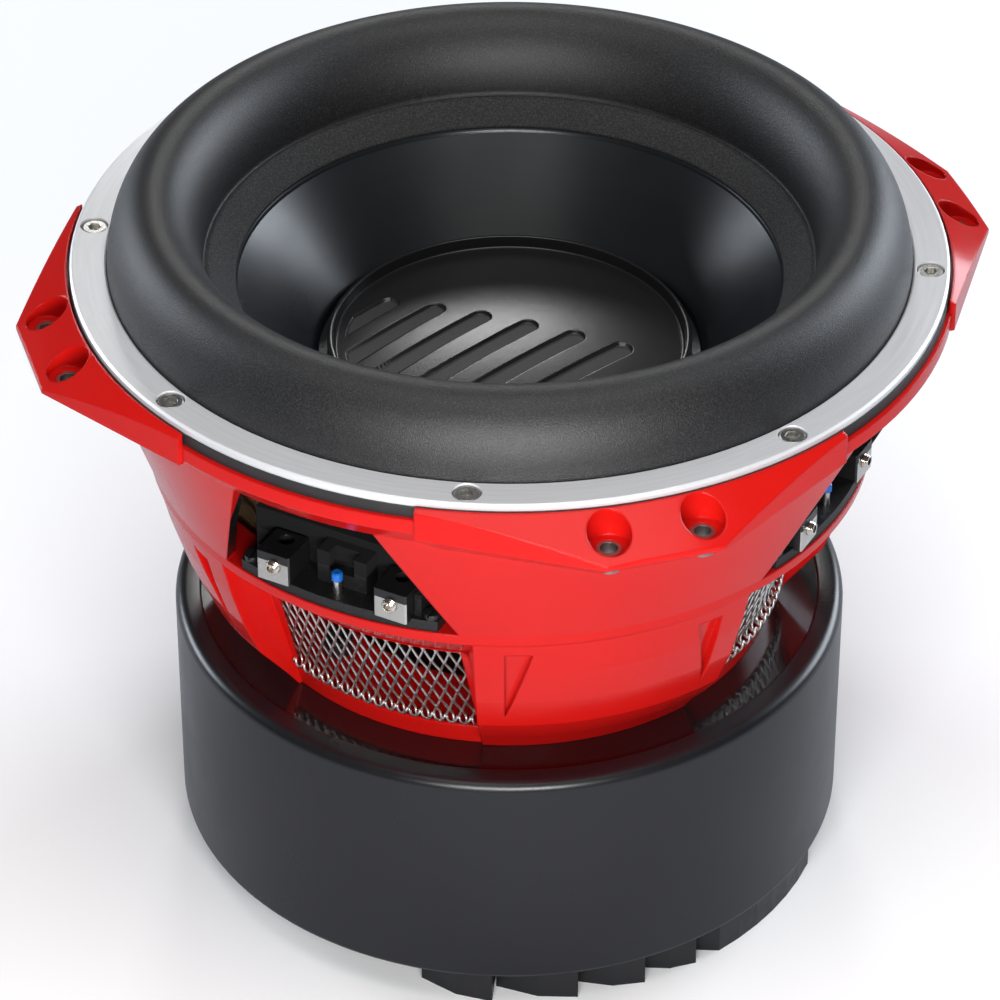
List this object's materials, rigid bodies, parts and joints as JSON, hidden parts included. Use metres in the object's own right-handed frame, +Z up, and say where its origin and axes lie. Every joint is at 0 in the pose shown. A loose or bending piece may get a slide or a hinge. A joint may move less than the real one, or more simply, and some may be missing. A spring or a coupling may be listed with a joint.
{
  "type": "car subwoofer driver",
  "caption": "Car subwoofer driver with a high-roll foam surround, domed cone, vented cast basket with mounting ears, clamp terminals and a booted magnet stack.",
  "frame": {"origin": "centre of the footprint at the height of the base's underside", "axes": "+Z up along the cone axis, out of the front of the speaker; the ears point along +X, +Y, -X and -Y; +Z is the shortest overall dimension"},
  "size_m": [0.3256, 0.3256, 0.2559],
  "materials": {
    "red_gloss_paint": "glossy red enamel over cast aluminium",
    "brushed_trim": "satin brushed metal trim ring",
    "screw_steel": "nickel plated socket screws",
    "black_screws": "black oxide fasteners",
    "gasket_rubber": "dull black moulded rubber",
    "surround_foam": "fine grained dark grey foam roll",
    "cone_skin": "satin blue-black polymer coated paper cone",
    "cap_plastic": "satin black dust cap with lighter recessed bars",
    "former_film": "thin metal coil former",
    "coil_copper": "enamelled copper winding",
    "spider_cloth": "resin treated woven cotton",
    "spacer_plastic": "matt black spacer ring",
    "plate_black": "gloss black plated steel",
    "ferrite": "dark grey sintered ferrite",
    "yoke_steel": "black plated forged steel",
    "boot_rubber": "satin black moulded rubber",
    "base_black": "black anodised casting",
    "mesh_silver": "bright expanded metal",
    "block_plastic": "moulded black plastic",
    "clamp_nickel": "satin nickel plated brass",
    "link_blue": "blue plastic cap",
    "lead_braid": "tinned braided wire"
  },
  "bodies": {
    "frame": {"basket": "red_gloss_paint", "mounting_ferrules": "screw_steel", "trim_ring": "brushed_trim", "trim_gasket": "gasket_rubber", "trim_screws": "screw_steel", "surround": "surround_foam", "spider_lower": "spider_cloth", "spider_upper": "spider_cloth", "spider_spacer": "spacer_plastic", "top_plate": "plate_black", "magnet_lower": "ferrite", "magnet_middle": "ferrite", "magnet_upper": "ferrite", "vented_yoke": "yoke_steel", "magnet_boot": "boot_rubber", "finned_base": "base_black", "base_screws": "black_screws", "vent_screen": "base_black", "basket_bolts": "black_screws", "terminal_block_screws": "screw_steel", "mesh_grille_back_right": "mesh_silver", "mesh_grille_back_left": "mesh_silver", "mesh_grille_front_left": "mesh_silver", "mesh_grille_front_right": "mesh_silver", "terminal_block_front_left": "block_plastic", "link_pin_front_left": "screw_steel", "link_pin_cap_front_left": "link_blue", "terminal_clamp_front_left_a": "clamp_nickel", "tinsel_lead_front_left_a": "lead_braid", "terminal_clamp_front_left_b": "clamp_nickel", "tinsel_lead_front_left_b": "lead_braid", "terminal_block_front_right": "block_plastic", "link_pin_front_right": "screw_steel", "link_pin_cap_front_right": "link_blue", "terminal_clamp_front_right_a": "clamp_nickel", "tinsel_lead_front_right_a": "lead_braid", "terminal_clamp_front_right_b": "clamp_nickel", "tinsel_lead_front_right_b": "lead_braid"},
    "clamp_pad_front_left_a": {"clamp_pad_front_left_a": "screw_steel"},
    "clamp_screw_front_left_a": {"clamp_screw_front_left_a": "screw_steel"},
    "clamp_pad_front_left_b": {"clamp_pad_front_left_b": "screw_steel"},
    "clamp_screw_front_left_b": {"clamp_screw_front_left_b": "screw_steel"},
    "clamp_pad_front_right_a": {"clamp_pad_front_right_a": "screw_steel"},
    "clamp_screw_front_right_a": {"clamp_screw_front_right_a": "screw_steel"},
    "clamp_pad_front_right_b": {"clamp_pad_front_right_b": "screw_steel"},
    "clamp_screw_front_right_b": {"clamp_screw_front_right_b": "screw_steel"},
    "cone_assembly": {"cone": "cone_skin", "dust_cap": "cap_plastic", "coil_former": "former_film", "voice_coil_inner": "coil_copper", "voice_coil_outer": "coil_copper"}
  },
  "joints": [
    {"name": "cone_travel", "type": "slide", "parent": "frame", "child": "cone_assembly", "axis": [0, 0, 1], "range_m": [-0.022, 0.022], "stiffness_N_per_m": 8000, "deforming": ["surround", "spider_upper", "spider_lower", "tinsel_lead_front_left_a", "tinsel_lead_front_left_b", "tinsel_lead_front_right_a", "tinsel_lead_front_right_b"]},
    {"name": "clamp_pad_front_left_a_slide", "type": "slide", "parent": "frame", "child": "clamp_pad_front_left_a", "axis": [0.7071, 0.7071, 0], "range_m": [0, 0.0024]},
    {"name": "clamp_screw_front_left_a_turn", "type": "hinge", "parent": "clamp_pad_front_left_a", "child": "clamp_screw_front_left_a", "pos_m": [-0.09475, -0.06449, 0.173], "axis": [0.7071, 0.7071, 0], "range_deg": [0, 1080]},
    {"name": "clamp_pad_front_left_b_slide", "type": "slide", "parent": "frame", "child": "clamp_pad_front_left_b", "axis": [0.7071, 0.7071, 0], "range_m": [0, 0.0024]},
    {"name": "clamp_screw_front_left_b_turn", "type": "hinge", "parent": "clamp_pad_front_left_b", "child": "clamp_screw_front_left_b", "pos_m": [-0.06449, -0.09475, 0.173], "axis": [0.7071, 0.7071, 0], "range_deg": [0, 1080]},
    {"name": "clamp_pad_front_right_a_slide", "type": "slide", "parent": "frame", "child": "clamp_pad_front_right_a", "axis": [-0.7071, 0.7071, 0], "range_m": [0, 0.0024]},
    {"name": "clamp_screw_front_right_a_turn", "type": "hinge", "parent": "clamp_pad_front_right_a", "child": "clamp_screw_front_right_a", "pos_m": [0.06449, -0.09475, 0.173], "axis": [-0.7071, 0.7071, 0], "range_deg": [0, 1080]},
    {"name": "clamp_pad_front_right_b_slide", "type": "slide", "parent": "frame", "child": "clamp_pad_front_right_b", "axis": [-0.7071, 0.7071, 0], "range_m": [0, 0.0024]},
    {"name": "clamp_screw_front_right_b_turn", "type": "hinge", "parent": "clamp_pad_front_right_b", "child": "clamp_screw_front_right_b", "pos_m": [0.09475, -0.06449, 0.173], "axis": [-0.7071, 0.7071, 0], "range_deg": [0, 1080]}
  ],
  "couplings": [
    {"joint": "clamp_screw_front_left_a_turn", "follows": "clamp_pad_front_left_a_slide", "rad_per_m": 7854},
    {"joint": "clamp_screw_front_left_b_turn", "follows": "clamp_pad_front_left_b_slide", "rad_per_m": 7854},
    {"joint": "clamp_screw_front_right_a_turn", "follows": "clamp_pad_front_right_a_slide", "rad_per_m": 7854},
    {"joint": "clamp_screw_front_right_b_turn", "follows": "clamp_pad_front_right_b_slide", "rad_per_m": 7854}
  ]
}
